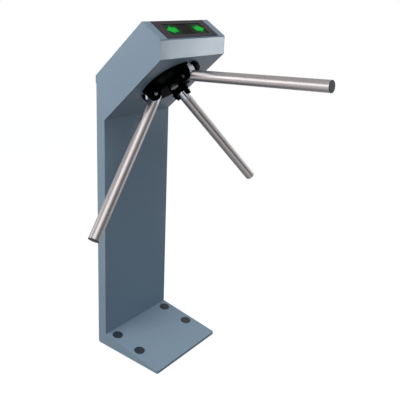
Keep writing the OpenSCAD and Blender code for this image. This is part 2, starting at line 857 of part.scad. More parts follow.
module arm_end_caps() color(dark_blue)
  for (k = [0:2]) on_arm(k) {
    rod(arm_d / 2, arm_tip - arm_cap_len, arm_tip);
    rod(spigot_r, arm_tip - arm_cap_len - arm_cap_spigot, arm_tip - arm_cap_len / 2);
  }

// Homing crank: three turns of the small gear for one of the rotor
module at_homing() translate([-homing_centre, 0, 0]) children();
module homing_axle() color(polished)
  in_hub() at_homing() {
    rod(homing_shoulder_r, gear_front + seat_gap, plate_rear);
    rod(homing_journal_r, gear_rear - seat_gap - clip_t - pivot_tail, gear_front + overrun);
    tube_ring(homing_clip_r, homing_journal_r - fit_gap, gear_rear - seat_gap - clip_t, gear_rear - seat_gap);
  }
homing_turn = 180 / homing_teeth;
module homing_gear() color(bare_steel)
  in_hub() at_homing()
    difference() {
      gear_body(homing_teeth, homing_turn);
      rod(homing_journal_r + run_gap, gear_rear - overrun, gear_front + overrun);
      translate([0, crank_r, 0]) rod(crank_pin_r + fit_gap, gear_rear - overrun, gear_front - gear_face / 2);
    }
module crank_pin() color(polished)
  in_hub() at_homing() translate([0, crank_r, 0])
    rod(crank_pin_r, gear_rear - crank_pin_len, gear_front - gear_face / 2 - loose_gap);
module spring_post() color(polished)
  in_hub() at_homing() translate([0, post_y, 0]) {
    rod(post_r, spring_level + 2 * spring_wire_r, plate_rear);
    rod(post_tip_r, spring_level - 3 * spring_wire_r, spring_level + 3 * spring_wire_r);
  }
eye_r = crank_pin_r + spring_wire_r + spring_eye_gap;
function eye_path(y, dir) = [
  for (i = [0:eye_steps])
    let (a = eye_start + (eye_end - eye_start) * i / eye_steps)
      [eye_r * cos(a), y + dir * eye_r * sin(a), 0]
];
coil_span = spring_turns * spring_pitch;
coil_low = crank_r + (post_y - crank_r - coil_span) / 2;
coil_steps = 10;
eye_start = 115;
eye_end = 415;
eye_steps = 12;
wire_sides = 6;
function coil_path() = [
  for (i = [0:spring_turns * coil_steps])
    let (a = 360 * i / coil_steps)
      [-spring_coil_r * cos(a), coil_low + spring_pitch * i / coil_steps, spring_coil_r * sin(a)]
];
function reversed(list) = [for (i = [len(list) - 1:-1:0]) list[i]];
module homing_spring() color(bare_steel)
  in_hub() at_homing() translate([0, 0, spring_level])
    swept_wire(concat(eye_path(crank_r, 1), coil_path(), reversed(eye_path(post_y, -1))),
               spring_wire_r, wire_sides, [0, 0, 1]);

// Damper
module at_damper() translate([damper_centre, 0, 0]) children();
module damper_body() color(black)
  in_hub() difference() {
    at_damper() {
      rod(damper_r, damper_rear, plate_rear);
      for (s = [-1, 1]) translate([0, s * damper_ear_out, 0]) rod(damper_ear_r, foot_rear, plate_rear);
      block(-damper_ear_r, damper_ear_r, -damper_ear_out, damper_ear_out, foot_rear, plate_rear);
    }
    at_damper() rod(damper_shaft_r + run_gap, damper_rear - overrun, damper_hole_end);
    at_unit_screws() unit_hole();
  }
module damper_pinion() color(bare_steel)
  in_hub() at_damper() {
    gear_body(damper_teeth, 180 + 180 / damper_teeth);
    rod(damper_shaft_r, gear_rear + overrun, damper_rear + damper_shaft_in);
  }

// Screws that hold the damper and the solenoid brackets to the plate
module at_unit_screws() {
  at_damper() for (s = [-1, 1]) translate([0, s * damper_ear_out, 0]) children();
  both_sides() at_link()
    for (s = [-1, 1])
      translate([s * bracket_half_w / 2, coil_start + bracket_foot_len / 2, 0]) children();
}
module unit_hole() rod(unit_screw_r + fit_gap, foot_rear - overrun, plate_front + overrun);
module unit_screws() color(polished)
  in_hub() at_unit_screws() {
    rod(unit_screw_r, foot_rear - overrun, plate_front - unit_screw_short);
    rod(unit_screw_head_r, foot_rear - unit_screw_head_h, foot_rear);
  }

// Locking pawls: drawn engaged, then swung back to the released rest
module pawl_outline() {
  polygon([
    [-tooth_tip_w / 2, tooth_tip_y], [tooth_tip_w / 2, tooth_tip_y],
    [tooth_base_w / 2, tooth_base_y],
    [pawl_reach, pawl_pivot_y - pawl_waist], [pawl_reach, pawl_pivot_y + pawl_boss_r],
    [-tooth_base_w / 2, pawl_top_y], [-tooth_base_w / 2, tooth_base_y]
  ]);
  translate([pawl_reach, pawl_pivot_y]) circle(r = pawl_boss_r);
  translate([pawl_reach, pawl_pivot_y - pawl_waist]) square([tail_reach, 2 * pawl_waist]);
  translate([pawl_reach + tail_reach, pawl_pivot_y]) circle(r = tail_r);
}
module pawl_released() translate([pawl_reach, pawl_pivot_y, 0]) rotate([0, 0, -pawl_swing])
  translate([-pawl_reach, -pawl_pivot_y, 0]) children();
module link_slot() {
  hole_r = link_r + slot_gap;
  for (s = [-1, 1]) translate([s * slot_half, 0, 0]) rod(hole_r, lock_rear - overrun, lock_front + overrun);
  block(-slot_half, slot_half, -hole_r, hole_r, lock_rear - overrun, lock_front + overrun);
}
module pawl_solid()
  pawl_released()
    difference() {
      translate([0, 0, lock_rear]) linear_extrude(height = lock_t) pawl_outline();
      translate([pawl_reach, pawl_pivot_y, 0])
        rod(pivot_r + run_gap, lock_rear - overrun, lock_front + overrun);
      translate([pawl_reach + tail_reach, pawl_pivot_y, 0]) link_slot();
    }
module locking_pawl_entry() color(bare_steel) in_hub() pawl_solid();
module locking_pawl_exit() color(bare_steel) in_hub() mirror([0, 1, 0]) pawl_solid();
module pawl_pins() color(polished)
  in_hub() both_sides() translate([pawl_reach, pawl_pivot_y, 0]) {
    rod(pivot_shoulder_r, lock_front + seat_gap, plate_rear);
    rod(pivot_r, lock_rear - seat_gap - clip_t - pivot_tail, lock_front + overrun);
    tube_ring(pivot_shoulder_r, pivot_r - fit_gap, lock_rear - seat_gap - clip_t, lock_rear - seat_gap);
  }

// Plungers and solenoids
link_x = pawl_reach + tail_reach * (1 + cos(pawl_swing)) / 2;
link_y = pawl_pivot_y - tail_reach * sin(pawl_swing);
lock_mid = (lock_front + lock_rear) / 2;
module at_link() translate([link_x, link_y, 0]) children();
module along_y() translate([0, 0, lock_mid]) rotate([-90, 0, 0]) children();
module plunger_solid()
  at_link() {
    rod(link_r, lock_rear - seat_gap - fork_t, lock_front + seat_gap + fork_t);
    block(-fork_half_w, fork_half_w, -fork_half_w, fork_web_far,
          lock_front + seat_gap, lock_front + seat_gap + fork_t);
    block(-fork_half_w, fork_half_w, -fork_half_w, fork_web_far,
          lock_rear - seat_gap - fork_t, lock_rear - seat_gap);
    block(-fork_half_w, fork_half_w, fork_web_near, fork_web_far,
          lock_rear - seat_gap - fork_t, lock_front + seat_gap + fork_t);
    along_y() rod(plunger_r, fork_web_far - overrun, fork_web_far + plunger_len);
  }
module plunger_entry() color(polished) in_hub() plunger_solid();
module plunger_exit() color(polished) in_hub() mirror([0, 1, 0]) plunger_solid();
module solenoid_coils() color(copper_tone)
  in_hub() both_sides() at_link() along_y()
    tube_ring(coil_r, plunger_r + run_gap, coil_start + yoke_t, coil_end - yoke_t);
module solenoid_frames() color(bare_steel)
  in_hub() both_sides() at_link() along_y()
    difference() {
      union() {
        block(-yoke_half, yoke_half, -yoke_half, yoke_half, coil_start, coil_start + yoke_t);
        block(-yoke_half, yoke_half, -yoke_half, yoke_half, coil_end - yoke_t, coil_end);
        block(yoke_half, yoke_half + yoke_t, -yoke_half, yoke_half, coil_start, coil_end);
      }
      rod(plunger_r + run_gap, coil_start - overrun, coil_end + overrun);
    }
module solenoid_brackets() color(bare_steel)
  in_hub() difference() {
    both_sides() at_link()
      difference() {
        union() {
          block(-bracket_half_w, bracket_half_w, coil_start - bracket_t, coil_start,
                lock_mid - yoke_half, plate_rear);
          block(-bracket_half_w, bracket_half_w, coil_start - bracket_t, coil_start + bracket_foot_len,
                foot_rear, plate_rear);
        }
        along_y() rod(plunger_r + 2 * loose_gap, coil_start - bracket_t - overrun, coil_start + overrun);
      }
    at_unit_screws() unit_hole();
  }

// Sensors
module at_sensors() for (a = [-135, 135]) rotate([0, 0, a]) children();
module sensor_posts() color(polished)
  in_hub() at_sensors() translate([sensor_pitch_r, 0, 0])
    rod(sensor_post_r, fork_slot_front + fork_jaw_t, plate_rear);
module sensor_forks() color(black)
  in_hub() at_sensors()
    difference() {
      block(fork_reach_r, sensor_pitch_r + fork_body / 2, -fork_body / 2, fork_body / 2,
            fork_slot_rear - fork_jaw_t, fork_slot_front + fork_jaw_t);
      block(fork_reach_r - overrun, encoder_r + 2 * overrun, -fork_body, fork_body,
            fork_slot_rear, fork_slot_front);
    }

// Control board on the side wall
wall_y = inner_w / 2;
module on_side_wall() in_hub() translate([board_x, -wall_y, board_z]) rotate([-90, 0, 0]) children();
module at_board_corners()
  for (sx = [-1, 1], sz = [-1, 1])
    translate([sx * (board_len / 2 - standoff_in), sz * (board_high / 2 - standoff_in), 0]) children();
module board_standoffs() color(brass_tone) on_side_wall() at_board_corners() rod(standoff_r, 0, board_off);
module control_board() color(board_green)
  on_side_wall() translate([0, 0, board_off + board_t / 2])
    cube([board_len, board_high, board_t], center = true);
module board_components() color(dark_blue)
  on_side_wall() translate([0, 0, board_off + board_t]) {
    for (k = [-1, 0, 1])
      translate([k * (relay_len + relay_w / 2), board_high / 6, relay_h / 2])
        cube([relay_len, relay_w, relay_h], center = true);
    translate([0, -board_high / 2 + terminal_w, terminal_h / 2])
      cube([board_len - 4 * standoff_in, terminal_w, terminal_h], center = true);
    translate([0, -terminal_w, chip_h / 2]) cube([relay_len, terminal_w, chip_h], center = true);
  }

// Lid
module top_lid() color(steel_blue)
  difference() {
    across(stand_width)
      polygon([
        lid_front, lid_ridge, lid_bend, lid_lip_end,
        lid_lip_end + [lid_t, 0], lid_slant_at(lid_t, lip_x + lid_t), lid_ridge_at(lid_t), lid_front_at(lid_t)
      ]);
    on_top() block(bezel_in + bezel_wall_in, bezel_in + bezel_len - bezel_wall_in,
                   -bezel_w / 2 + bezel_wall_in, bezel_w / 2 - bezel_wall_in, -lid_t - overrun, overrun);
    on_back() translate([lock_up, 0, 0]) rod(lock_body_r + loose_gap, -lid_t - overrun, overrun);
  }

// Display
window_mid = window_in + window_len / 2;
module bezel_block(inset_by, low, high)
  block(bezel_in + inset_by, bezel_in + bezel_len - inset_by, inset_by - bezel_w / 2, bezel_w / 2 - inset_by,
        low, high);
module window_block(grow, low, high)
  block(window_in - grow, window_in + window_len + grow, -grow - window_w / 2, window_w / 2 + grow,
        low, high);
module at_display_screws()
  for (x = [window_in, window_in + window_len], s = [-1, 1])
    translate([x, s * (window_w / 2 + display_screw_out), 0]) children();
module display_bezel() color(black)
  on_top()
    difference() {
      union() {
        bezel_block(0, 0, bezel_rise);
        bezel_block(bezel_wall_in + bezel_hole_gap, -bezel_depth, bezel_rise / 2);
      }
      window_block(0, -bezel_depth - overrun, bezel_rise + overrun);
      window_block(window_ledge, -bezel_depth - overrun, window_face);
      at_display_screws() rod(display_screw_r + fit_gap, -bezel_depth - overrun, display_screw_tip);
    }
module arrow_outline(grow) {
  head = arrow_len * arrow_head_share;
  shaft = arrow_h * arrow_shaft_share / 2;
  polygon([
    [-arrow_len / 2 - grow, -shaft - grow], [arrow_len / 2 - head - grow, -shaft - grow],
    [arrow_len / 2 - head - grow, -arrow_h / 2 - 2 * grow], [arrow_len / 2 + 2 * grow, 0],
    [arrow_len / 2 - head - grow, arrow_h / 2 + 2 * grow], [arrow_len / 2 - head - grow, shaft + grow],
    [-arrow_len / 2 - grow, shaft + grow]
  ]);
}
module arrow_at(side) translate([window_mid, side * arrow_out, 0]) rotate([0, 0, side * 90]) children();
module stop_outline(grow)
  for (a = [45, 135]) rotate(a) square([stop_size + 2 * grow, stop_bar + 2 * grow], center = true);
module display_window() color(dark_blue)
  on_top()
    difference() {
      window_block(window_ledge - loose_gap, window_face - window_t, window_face);
      translate([0, 0, -bezel_depth]) linear_extrude(height = 2 * bezel_depth) {
        for (s = [-1, 1]) arrow_at(s) arrow_outline(arrow_gap);
        translate([window_mid, 0]) stop_outline(arrow_gap);
      }
    }
module light_between(low, high) translate([0, 0, low]) linear_extrude(height = high - low) children();
light_low = -bezel_depth;
light_high = window_face + light_proud;
module arrow_light(side) color("lime")
  on_top() light_between(light_low, light_high) arrow_at(side) arrow_outline(0);
module arrow_light_left() arrow_light(-1);
module arrow_light_right() arrow_light(1);
module stop_light() color([0.25, 0.05, 0.05])
  on_top() light_between(light_low, light_high) translate([window_mid, 0]) stop_outline(0);
module display_board() color(board_green)
  on_top() difference() {
    bezel_block(bezel_wall_in + display_board_margin, -bezel_depth - display_board_t, -bezel_depth);
    at_display_screws() rod(display_screw_r + fit_gap, -2 * bezel_depth, overrun - bezel_depth);
  }
module display_screws() color(polished)
  on_top() at_display_screws() {
    rod(display_screw_r, -bezel_depth - display_board_t - overrun / 2, display_screw_tip - loose_gap);
    rod(display_screw_head_r, -bezel_depth - display_board_t - display_screw_head_h,
        -bezel_depth - display_board_t);
  }

// Lock of the lid
module at_lock() on_back() translate([lock_up, 0, 0]) children();
module lock_housing() color(polished)
  at_lock()
    difference() {
      union() {
        rod(lock_flange_r, 0, lock_flange_t);
        rod(lock_body_r, -lock_body_len, lock_flange_t / 2);
      }
      rod(lock_plug_r + run_gap, -lock_body_len - overrun, lock_flange_t + overrun);
    }
module lock_ring_nut() color(polished)
  at_lock()
    difference() {
      hex_rod(ring_nut_r, -lid_t - ring_nut_t, -lid_t);
      rod(lock_body_r + fit_gap, -lid_t - ring_nut_t - overrun, -lid_t + overrun);
    }
module lock_plug() color(brass_tone)
  at_lock()
    difference() {
      rod(lock_plug_r, -lock_body_len - loose_gap, lock_flange_t);
      block(-key_slot_len / 2, key_slot_len / 2, -key_slot_w / 2, key_slot_w / 2,
            lock_flange_t - key_slot_depth, lock_flange_t + overrun);
    }
module lock_cam() color(bare_steel)
  at_lock() {
    rod(lock_plug_r + overrun, -lock_body_len - loose_gap - cam_t, -lock_body_len - loose_gap);
    block(-cam_half_w, cam_half_w, 0, cam_len,
          -lock_body_len - loose_gap - cam_t, -lock_body_len - loose_gap);
  }

stand_frame();
floor_plate();
cable_grommet();
anchor_caps();
mechanism_plate();
plate_nuts();
bearing_housing();
housing_screws();
bearing_outer_rings();
bearing_balls();
homing_axle();
spring_post();
homing_spring();
damper_body();
pawl_pins();
solenoid_brackets();
unit_screws();
solenoid_frames();
solenoid_coils();
sensor_posts();
sensor_forks();
board_standoffs();
control_board();
board_components();
rotor_hub();
rotor_shaft();
bearing_inner_rings();
shaft_spacers();
lock_disc();
main_gear();
encoder_disc();
shaft_nut();
hub_washer();
hub_bolt();
arm_roots();
arm_bolts();
arm_nuts();
arm_tube_1();
arm_tube_2();
arm_tube_3();
arm_end_caps();
homing_gear();
crank_pin();
damper_pinion();
locking_pawl_entry();
locking_pawl_exit();
plunger_entry();
plunger_exit();
top_lid();
display_bezel();
display_window();
arrow_light_left();
arrow_light_right();
stop_light();
display_board();
display_screws();
lock_housing();
lock_ring_nut();
lock_plug();
lock_cam();
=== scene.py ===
"""Tripod turnstile: surfaces, edges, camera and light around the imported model."""

import json
import math

import bmesh
import bpy
import numpy as np
from mathutils import Matrix, Vector


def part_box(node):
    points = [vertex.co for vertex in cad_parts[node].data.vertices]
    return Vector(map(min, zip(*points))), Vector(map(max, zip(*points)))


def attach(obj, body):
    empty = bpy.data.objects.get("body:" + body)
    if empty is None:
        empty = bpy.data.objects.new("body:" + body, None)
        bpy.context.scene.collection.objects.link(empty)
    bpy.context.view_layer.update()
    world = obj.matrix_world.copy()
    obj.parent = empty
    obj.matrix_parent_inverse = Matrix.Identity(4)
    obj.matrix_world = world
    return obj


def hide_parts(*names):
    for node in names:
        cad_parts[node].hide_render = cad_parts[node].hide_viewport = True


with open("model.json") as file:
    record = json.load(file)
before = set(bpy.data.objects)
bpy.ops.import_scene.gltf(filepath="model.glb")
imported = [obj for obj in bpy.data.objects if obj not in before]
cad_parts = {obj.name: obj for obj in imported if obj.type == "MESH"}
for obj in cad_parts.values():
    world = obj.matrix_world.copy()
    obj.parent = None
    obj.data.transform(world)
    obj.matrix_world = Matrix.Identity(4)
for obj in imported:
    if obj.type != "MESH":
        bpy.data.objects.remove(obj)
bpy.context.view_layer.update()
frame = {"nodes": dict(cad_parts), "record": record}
NODES = frame["nodes"]
RECORD = frame["record"]
BODY_OF = {node: body for body, nodes in RECORD["behaviour"]["bodies"].items() for node in nodes}
SLOT_OF = {part["node"]: part["material_slot"] for part in RECORD["subparts"]}

MM = 0.001
WHITE = (1, 1, 1, 1)
ARM_TUBES = ("arm_tube_1", "arm_tube_2", "arm_tube_3")
ARROWS = ("arrow_light_left", "arrow_light_right")

# Camera: where the photograph was taken from, in the part's frame, with its angles in degrees
CAMERA_AT = (1.1413, -1.2780, 1.1370)
CAMERA_YAW = 37.22
CAMERA_PITCH = 15.62
CAMERA_ROLL = 2.31
LENS_MM = 51.62
SENSOR_MM = 36.0
SHIFT_Y = -0.125
CAMERA_REACH = 100

# Edge rounding of the pieces that show, in millimetres
EDGE_MM = {
    "stand_frame": 1.4, "top_lid": 0.8, "anchor_caps": 0.2, "display_bezel": 0.5,
    "rotor_hub": 0.2, "hub_bolt": 0.3, "hub_washer": 0.4, "arm_roots": 1.2, "arm_bolts": 0.8,
    "arm_nuts": 0.2, "arm_end_caps": 1.8, **dict.fromkeys(ARM_TUBES, 0.3),
    "lock_housing": 0.5, "lock_plug": 0.25, "floor_plate": 0.2, "cable_grommet": 0.4,
}
EDGE_SEGMENTS = 3
EDGE_ANGLE = math.radians(28)
SHARP_ANGLE = math.radians(40)
FLAT_ANGLE = math.radians(0.4)
WELD_MM = 0.004
SLIVER_MM = 0.002

# Display: the grid of small lamps behind an arrow, with the light at a lamp and between lamps, and
# the shares of the pitch where the first ends and the second begins
LAMP_PITCH_MM = 4.0
LAMP_LEVELS = (0.98, 0.78)
LAMP_SPAN = (0.15, 0.75)
# Where an arrow's light begins and is full, from its inner end, and how far from its middle the
# painted glow that the window itself gives off starts to fade and ends
LIT_FROM_MM = (4.5, 10.5)
UNLIT_SHARE = 0.12
PAINTED_GLOW_MM = (12, 42)
PAINTED_GLOW_GREEN = (0.002, 0.045, 0.010, 1)

# Lamps: places and sizes in metres, power in watts, beam in degrees. One that names pieces
# reaches only those. These only light, and don't show in gloss.
LAMPS = {
    "key_left": dict(at=(-0.9, -2.8, 2.0), towards=(0.05, 0, 0.75), size=(2.0, 2.0), watts=75),
    "overhead": dict(at=(0.9, 0.3, 4.5), towards=(0, 0, 0.5), size=(3.2, 3.2), watts=48),
    "right_soft": dict(at=(0.3, 3.2, 1.8), towards=(0, 0, 0.6), size=(1.6, 1.6), watts=20),
    "nose_card": dict(
        at=(0.49, 0.57, 1.38), towards=(0.137, 0.04, 1.01), size=(0.3, 0.2), watts=0.27,
        beam=36, colour=(0.98, 0.93, 0.90), pieces=("stand_frame",)),
}
# These only show in gloss
SHEENS = {
    "key_sheen": dict(at=(-1.7, -2.8, 1.65), towards=(0.1, 0, 0.75), size=(4.0, 1.9), watts=45),
    "top_sheen": dict(at=(1.0, -1.3, 2.85), towards=(0.05, 0, 0.5), size=(2.3, 3.4), watts=34),
    "nose_sheen": dict(
        at=(0.72, 0.86, 0.87), towards=(0.137, 0.06, 0.98), size=(0.4, 0.3), watts=0.85,
        beam=66, colour=(0.98, 0.96, 0.95), pieces=("stand_frame",)),
    "tube_card": dict(
        at=(0.145, -0.09, 0.943), towards=(0.25, -0.07, 0.92), size=(0.14, 0.055), watts=0.036,
        pieces=ARM_TUBES),
    "side_card": dict(
        at=(0.022, -0.128, 0.832), towards=(0.055, -0.108, 0.795), size=(0.07, 0.03), watts=0.004,
        pieces=ARM_TUBES),
    "root_card": dict(
        at=(-0.002, -0.070, 0.824), towards=(0.022, -0.075, 0.835), size=(0.024, 0.02),
        watts=0.0012, pieces=("arm_roots",)),
    "right_sheen": dict(at=(0.65, 3.2, 0.95), towards=(0, 0, 0.6), size=(1.6, 1.6), watts=6),
}

# Surroundings: the fill that lights the object, and the level that shows in gloss, which falls to
# a lower one towards the dark side, between two cosines of the angle from it
FILL_LEVEL = 0.395
FILL_COLOUR = (0.577, 0.788, 1.0, 1)
GLOSS_LEVEL = 0.64
GLOSS_DARK = 0.1
DARK_SIDE = (0.93, 0.34, 0.1)
DARK_SPAN = (0.88, 0.985)

# Floor as the camera sees it: partly lit near the object, so that it takes the shadow, and plain
# white past the fade
FLOOR_SIZE = 60
FLOOR_LIT_SHARE = 0.22
FLOOR_OWN_LIGHT = 0.88
FLOOR_FADE = (1.2, 4.0)
# Floor as the object meets it: the share of light that it throws back, and its level in gloss, which
# is lower around two points: a painted shadow of the object near it, and a painted dark patch further
# off, both seen only in gloss. Each has its place, and where its fade starts and ends from it.
FLOOR_BOUNCE = 0.2
FLOOR_IN_GLOSS = (0.36, 0.95)
PAINTED_SHADOW_FADE = ((-0.45, 0.1, 0), 0.4, 1.5)
PAINTED_DARK_LEVEL = 0.02
PAINTED_DARK_FADE = ((2.8, 0.9, 0), 1.3, 2.1)


def linear(shade):
    """One channel as seen on screen, 0 to 255, as linear light."""
    level = shade / 255
    return level / 12.92 if level <= 0.04045 else ((level + 0.055) / 1.055) ** 2.4


def rgb(red, green, blue):
    """A colour as seen on screen, 0 to 255, as linear light."""
    return (linear(red), linear(green), linear(blue), 1.0)


def add_object(name, data):
    made = bpy.data.objects.new(name, data)
    bpy.context.scene.collection.objects.link(made)
    return made


# Node trees
class Graph:
    """Nodes and sums in one node tree."""

    def __init__(self, tree):
        self.tree = tree

    def put(self, socket, value):
        """Links a node's output to a socket, or sets the socket to a plain value."""
        if isinstance(value, bpy.types.NodeSocket):
            self.tree.links.new(value, socket)
        else:
            socket.default_value = value

    def node(self, kind, inputs=None, **settings):
        """A new node with its settings, and then its inputs, by name or by number."""
        made = self.tree.nodes.new(kind)
        for setting, value in settings.items():
            setattr(made, setting, value)
        for socket, value in (inputs or {}).items():
            self.put(made.inputs[socket], value)
        return made

    def math(self, operation, a, b=0.0):
        return self.node("ShaderNodeMath", {0: a, 1: b}, operation=operation).outputs["Value"]

    def distance(self, place, point):
        """How far a place is from a point."""
        between = self.node("ShaderNodeVectorMath", {0: place, 1: point}, operation="DISTANCE")
        return between.outputs["Value"]

    def spread(self, value, low, high, from_low=0.3, from_high=0.7, curve="LINEAR"):
        """Maps a value from one range to another, and stays at low or high outside it."""
        mapped = self.node("ShaderNodeMapRange", {
            "Value": value, "From Min": from_low, "From Max": from_high, "To Min": low, "To Max": high,
        }, interpolation_type=curve)
        return mapped.outputs["Result"]

    def ramp(self, value, start, end):
        """0 below start, 1 above end, smooth between."""
        return self.spread(value, 0.0, 1.0, start, end, "SMOOTHSTEP")

    def blend(self, factor, low, high, kind="FLOAT"):
        """Low where the factor is 0, high where it is 1."""
        ends = {"Factor": factor, "A": low, "B": high}
        return self.node("ShaderNodeMix", ends, data_type=kind).outputs["Result"]

    def rays(self):
        """1 for camera rays, and 1 for rays off gloss or through glass."""
        paths = self.node("ShaderNodeLightPath").outputs
        mirrored = self.math("MAXIMUM", paths["Is Glossy Ray"], paths["Is Transmission Ray"])
        return paths["Is Camera Ray"], mirrored


class Surface(Graph):
    """A procedural material on one Principled shader."""

    def __init__(self, name, colour, roughness, metallic=0.0, **values):
        self.material = bpy.data.materials.new(name)
        self.material.use_nodes = True
        super().__init__(self.material.node_tree)
        self.shader = self.tree.nodes["Principled BSDF"]
        self.colour = colour
        self.roughness = roughness
        self.set(Base_Color=colour, Roughness=roughness, Metallic=metallic, **values)

    def set(self, **values):
        """Sets or links the shader's sockets, each named with _ for a space."""
        for socket, value in values.items():
            self.put(self.shader.inputs[socket.replace("_", " ")], value)

    def place(self, stretch=(1, 1, 1), attribute=None):
        """Coordinates in metres, stretched: the piece's own, or an attribute of its mesh."""
        if attribute:
            source = self.node("ShaderNodeAttribute", attribute_name=attribute).outputs["Vector"]
        else:
            source = self.node("ShaderNodeTexCoord").outputs["Object"]
        return self.node("ShaderNodeMapping", {"Vector": source, "Scale": stretch}).outputs["Vector"]

    def noise(self, size_mm, detail=2.0, roughness=0.5, stretch=(1, 1, 1), attribute=None):
        """A noise whose features are about size_mm across. Returns its value, 0 to 1."""
        texture = self.node("ShaderNodeTexNoise", {
            "Vector": self.place(stretch, attribute), "Scale": 1 / (size_mm * MM),
            "Detail": detail, "Roughness": roughness,
        })
        return texture.outputs["Fac"]

    def tone(self, value, dark, light):
        """Base colour that runs between two shades of the material's own colour."""
        shades = [(*[min(1, channel * level) for channel in self.colour[:3]], 1) for level in (dark, light)]
        self.set(Base_Color=self.blend(value, *shades, kind="RGBA"))

    def gloss(self, value, change):
        """Roughness that varies by change around its own value."""
        self.set(Roughness=self.spread(value, self.roughness - change, self.roughness + change))

    def relief(self, value, depth_mm):
        """Bump of a real depth."""
        bump = self.node("ShaderNodeBump", {"Height": value, "Distance": depth_mm * MM})
        self.set(Normal=bump.outputs["Normal"])


# Materials, one for each slot of the record
def housing_paint():
    """Blue-grey satin powder coat with a fine orange peel."""
    paint = Surface("housing_paint", rgb(135, 151, 163), roughness=0.36, Specular_IOR_Level=0.21)
    paint.tone(paint.noise(size_mm=160, detail=3), dark=0.95, light=1.05)
    paint.gloss(paint.noise(size_mm=45, detail=3), change=0.04)
    paint.relief(paint.noise(size_mm=1.6), depth_mm=0.012)
    return paint


def rotor_black():
    """Black satin powder coat."""
    coat = Surface("rotor_black", rgb(4, 5, 6), roughness=0.34, Specular_IOR_Level=0.003)
    coat.tone(coat.noise(size_mm=30, detail=3), dark=0.8, light=1.25)
    coat.gloss(coat.noise(size_mm=18, detail=3), change=0.07)
    coat.relief(coat.noise(size_mm=1.1), depth_mm=0.012)
    return coat


def tube_steel():
    """Stainless tube, brushed along its length."""
    steel = Surface("tube_steel", rgb(180, 174, 174), roughness=0.30, metallic=1.0)
    streaks = steel.noise(size_mm=0.5, detail=3, roughness=0.6, stretch=(1, 1, 0.012), attribute="grain")
    clouds = steel.noise(size_mm=0.9, stretch=(1, 1, 0.02), attribute="grain")
    steel.tone(streaks, dark=0.86, light=1.10)
    steel.gloss(clouds, change=0.06)
    steel.relief(streaks, depth_mm=0.004)
    return steel


def polished_steel():
    """Polished steel with faint wiping marks."""
    steel = Surface("polished_steel", rgb(205, 207, 216), roughness=0.14, metallic=1.0)
    steel.gloss(steel.noise(size_mm=6, detail=4), change=0.05)
    steel.relief(steel.noise(size_mm=9), depth_mm=0.01)
    return steel


def zinc_steel():
    """Zinc plating with soft clouds."""
    steel = Surface("zinc_steel", rgb(122, 127, 132), roughness=0.42, metallic=1.0)
    steel.tone(steel.noise(size_mm=12, detail=4), dark=0.82, light=1.1)
    steel.gloss(steel.noise(size_mm=5, detail=3), change=0.08)
    return steel


def machined_steel():
    """Turned and milled steel with fine tool marks."""
    steel = Surface("machined_steel", rgb(172, 174, 178), roughness=0.30, metallic=1.0)
    marks = steel.noise(size_mm=0.6, stretch=(1, 8, 1))
    steel.tone(marks, dark=0.9, light=1.08)
    steel.gloss(marks, change=0.06)
    return steel


def dark_plastic():
    """Moulded plastic with a fine spark texture."""
    plastic = Surface("dark_plastic", rgb(44, 51, 58), roughness=0.42, Specular_IOR_Level=0.4)
    plastic.tone(plastic.noise(size_mm=14, detail=3), dark=0.88, light=1.1)
    plastic.gloss(plastic.noise(size_mm=3), change=0.05)
    plastic.relief(plastic.noise(size_mm=0.5), depth_mm=0.004)
    return plastic


def bezel_plastic():
    """Satin brown-black panel."""
    plastic = Surface("bezel_plastic", rgb(50, 40, 44), roughness=0.40, Specular_IOR_Level=0.15)
    plastic.tone(plastic.noise(size_mm=20), dark=0.92, light=1.08)
    plastic.gloss(plastic.noise(size_mm=8, detail=3), change=0.05)
    return plastic


def window_tint():
    """Dark tinted window that gives off a faint painted green glow around the lit arrows."""
    tint = Surface("window_tint", rgb(9, 7, 6), roughness=0.16, Specular_IOR_Level=0.03)
    tint.tone(tint.noise(size_mm=40), dark=0.85, light=1.15)
    tint.gloss(tint.noise(size_mm=10, detail=3), change=0.02)
    place = tint.place()
    # Painted glow: the window itself emits green light near each arrow, fading away from its middle
    reach = [length * MM for length in PAINTED_GLOW_MM]
    painted_glows = []
    for arrow in ARROWS:
        low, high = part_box(arrow)
        middle = [(a + b) / 2 for a, b in zip(low, high)]
        painted_glows.append(tint.spread(tint.distance(place, middle), 1.0, 0.0, *reach))
    tint.set(Emission_Strength=tint.math("MAXIMUM", *painted_glows), Emission_Color=PAINTED_GLOW_GREEN)
    return tint


def green_light():
    """Lit green diffuser over a grid of soft lamps, dim at the arrow's inner end."""
    lamp = Surface("green_light", rgb(0, 20, 6), roughness=0.30, Specular_IOR_Level=0.03)
    lamp.tone(lamp.noise(size_mm=9), dark=0.9, light=1.1)
    place = lamp.place()
    grid = lamp.node("ShaderNodeTexVoronoi", {
        "Vector": place, "Scale": 1 / (LAMP_PITCH_MM * MM), "Randomness": 0.0,
    })
    glow = lamp.spread(grid.outputs["Distance"], *LAMP_LEVELS, *LAMP_SPAN)
    low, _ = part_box("arrow_light_right")
    begins = [low[1] + length * MM for length in LIT_FROM_MM]
    across = lamp.node("ShaderNodeSeparateXYZ", {"Vector": place}).outputs["Y"]
    lit = lamp.spread(lamp.math("ABSOLUTE", across), UNLIT_SHARE, 1.0, *begins)
    lamp.set(Emission_Strength=lamp.math("MULTIPLY", glow, lit), Emission_Color=rgb(0, 182, 48))
    return lamp


def red_light():
    """Unlit red diffuser."""
    lamp = Surface("red_light", rgb(40, 19, 11), roughness=0.30, Specular_IOR_Level=0.03)
    lamp.tone(lamp.noise(size_mm=5), dark=0.8, light=1.2)
    return lamp


def circuit_board():
    """Green solder mask with traces."""
    board = Surface("circuit_board", rgb(24, 92, 52), roughness=0.3)
    board.tone(board.noise(size_mm=2, detail=1, stretch=(1, 1, 6)), dark=0.7, light=1.3)
    return board


